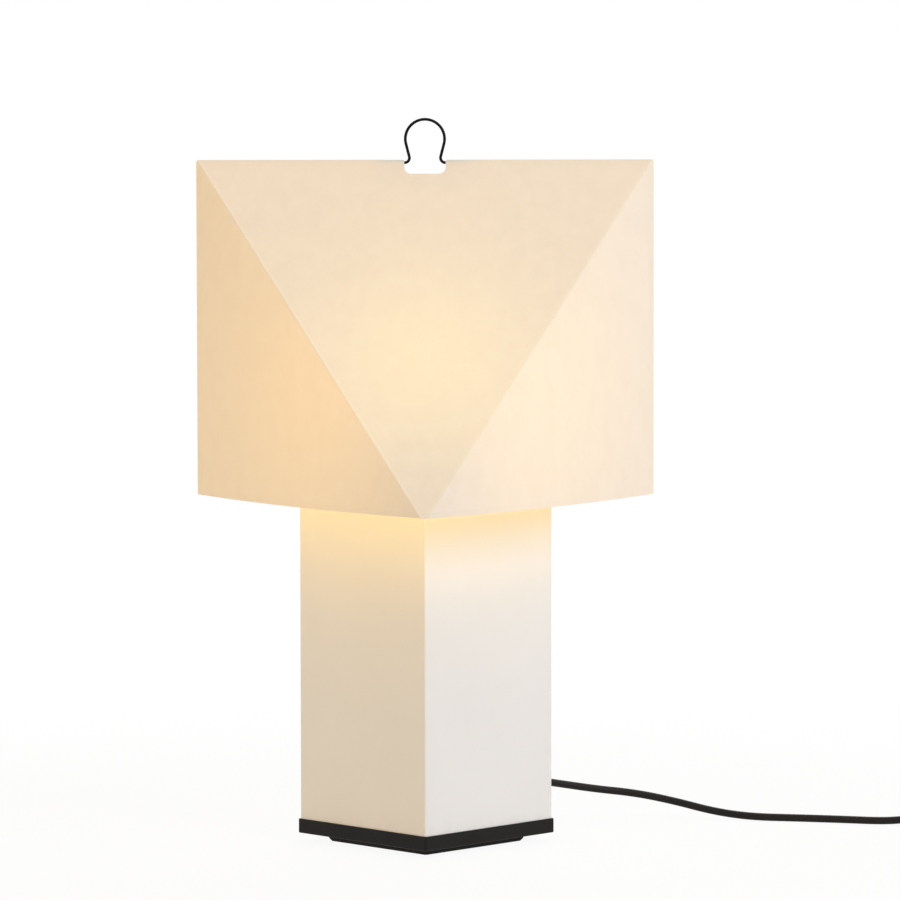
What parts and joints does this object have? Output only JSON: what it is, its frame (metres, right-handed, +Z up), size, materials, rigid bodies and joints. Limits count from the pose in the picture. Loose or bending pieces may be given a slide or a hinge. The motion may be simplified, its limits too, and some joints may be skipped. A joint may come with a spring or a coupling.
{
  "type": "table lamp",
  "caption": "Table lamp with a folded paper shade hung by its ridge on a bent wire with a carrying loop, over a square column on a dark plate, with cord, switch and plug.",
  "frame": {"origin": "centre of the lamp on the surface it stands on", "axes": "+Z up, the ridge of the shade along X, a corner of the shade and of the column towards -Y, the cord leaves towards +X and +Y"},
  "size_m": [0.7849, 0.3744, 0.6059],
  "materials": {
    "foot_rubber": "matt",
    "black_lacquer": "satin",
    "black_steel": "satin",
    "white_lacquer": "satin",
    "zinc_steel": "zinc plated",
    "black_wire": "satin",
    "holder_plastic": "satin",
    "holder_ceramic": "matt",
    "brass": "bright",
    "black_rubber": "matt",
    "black_cord": "satin",
    "core_insulation": "satin",
    "black_plastic": "fine grain",
    "nickel": "bright",
    "shade_paper": "matt fibrous, lets light through",
    "binding_paper": "matt",
    "opal_glass": "opal",
    "black_glass": "gloss",
    "clear_glass": "clear",
    "filament": "coated"
  },
  "bodies": {
    "lamp": {"foot_pad": "foot_rubber", "base_plate": "black_lacquer", "base_screws": "black_steel", "column_tube": "white_lacquer", "lower_corner_blocks": "white_lacquer", "upper_corner_blocks": "white_lacquer", "column_top_plate": "white_lacquer", "top_plate_screws": "zinc_steel", "nipple": "zinc_steel", "nipple_washer": "zinc_steel", "nipple_nut": "zinc_steel", "harp_saddle": "black_wire", "harp_wire": "black_wire", "lampholder_cap": "holder_plastic", "lampholder_shell": "holder_plastic", "lampholder_core": "holder_ceramic", "lampholder_sleeve": "brass", "lampholder_contact": "brass", "lampholder_terminals": "brass", "cord_strain_relief": "black_rubber", "inner_cord": "black_cord", "inner_cord_cores": "core_insulation", "cord_lead": "black_cord", "cord_coil": "black_cord", "cord_tie": "black_rubber", "switch_lower_shell": "black_plastic", "switch_upper_shell": "black_plastic", "switch_screws": "black_steel", "switch_terminals": "brass", "plug_body": "black_rubber", "plug_pins": "nickel", "plug_relief": "black_rubber"},
    "shade": {"shade_front_sheet": "shade_paper", "shade_back_sheet": "shade_paper", "shade_bottom_binding": "binding_paper", "shade_side_bindings": "binding_paper", "shade_ridge_bindings": "binding_paper"},
    "bulb": {"bulb_glass": "opal_glass", "bulb_cap": "nickel", "bulb_insulator": "black_glass", "bulb_tip_contact": "zinc_steel", "bulb_stem": "clear_glass", "bulb_filaments": "filament"},
    "rocker": {"switch_rocker": "black_plastic"}
  },
  "joints": [
    {"name": "shade_lift", "type": "slide", "parent": "lamp", "child": "shade", "axis": [0, 0, 1], "range_m": [0, 0.33]},
    {"name": "bulb_removal", "type": "slide", "parent": "lamp", "child": "bulb", "axis": [0, 0, 1], "range_m": [0, 0.03]},
    {"name": "switch_rock", "type": "hinge", "parent": "lamp", "child": "rocker", "pos_m": [0.472, 0.078, 0.0185], "axis": [0, 1, 0], "range_deg": [0, 14]}
  ]
}
